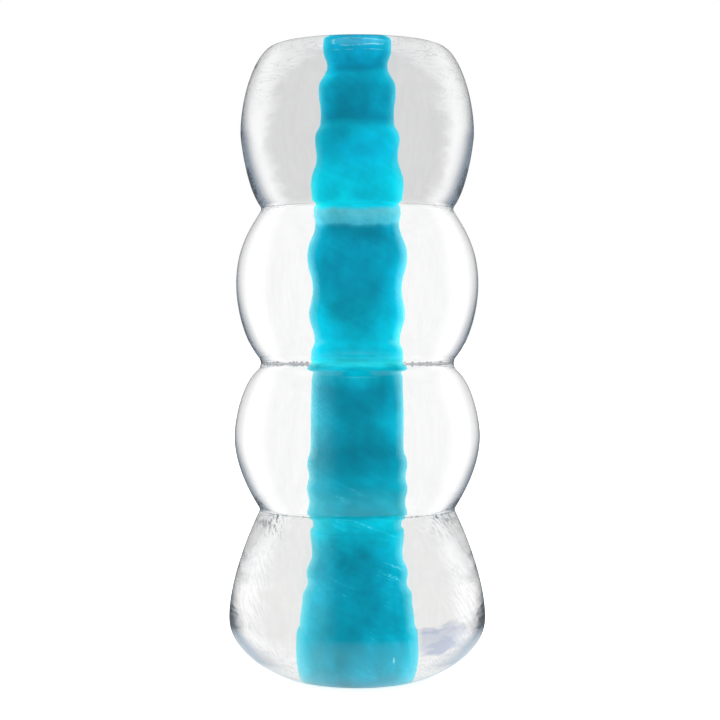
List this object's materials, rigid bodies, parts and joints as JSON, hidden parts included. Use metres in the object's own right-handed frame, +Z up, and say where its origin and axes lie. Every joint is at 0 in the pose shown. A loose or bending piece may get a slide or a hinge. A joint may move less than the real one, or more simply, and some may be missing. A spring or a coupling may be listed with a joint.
{
  "type": "squeeze sleeve",
  "caption": "Lobed squeeze sleeve in clear soft elastomer, moulded round a blue ringed liner whose bore runs through from the wide foot to the narrow top.",
  "frame": {"origin": "centre of the flat foot, on the plane it stands on", "axes": "+Z up the sleeve's axis, from the wide foot to the narrow top; turned about Z, so X and Y are alike"},
  "size_m": [0.07, 0.07, 0.172],
  "materials": {
    "clear_gel": "water-clear soft thermoplastic elastomer gel, moulded to a gloss",
    "blue_gel": "turquoise-blue pigmented soft thermoplastic elastomer, moulded, satin inside the clear body"
  },
  "bodies": {
    "root": {"clear_body": "clear_gel", "ringed_liner": "blue_gel"}
  },
  "joints": []
}
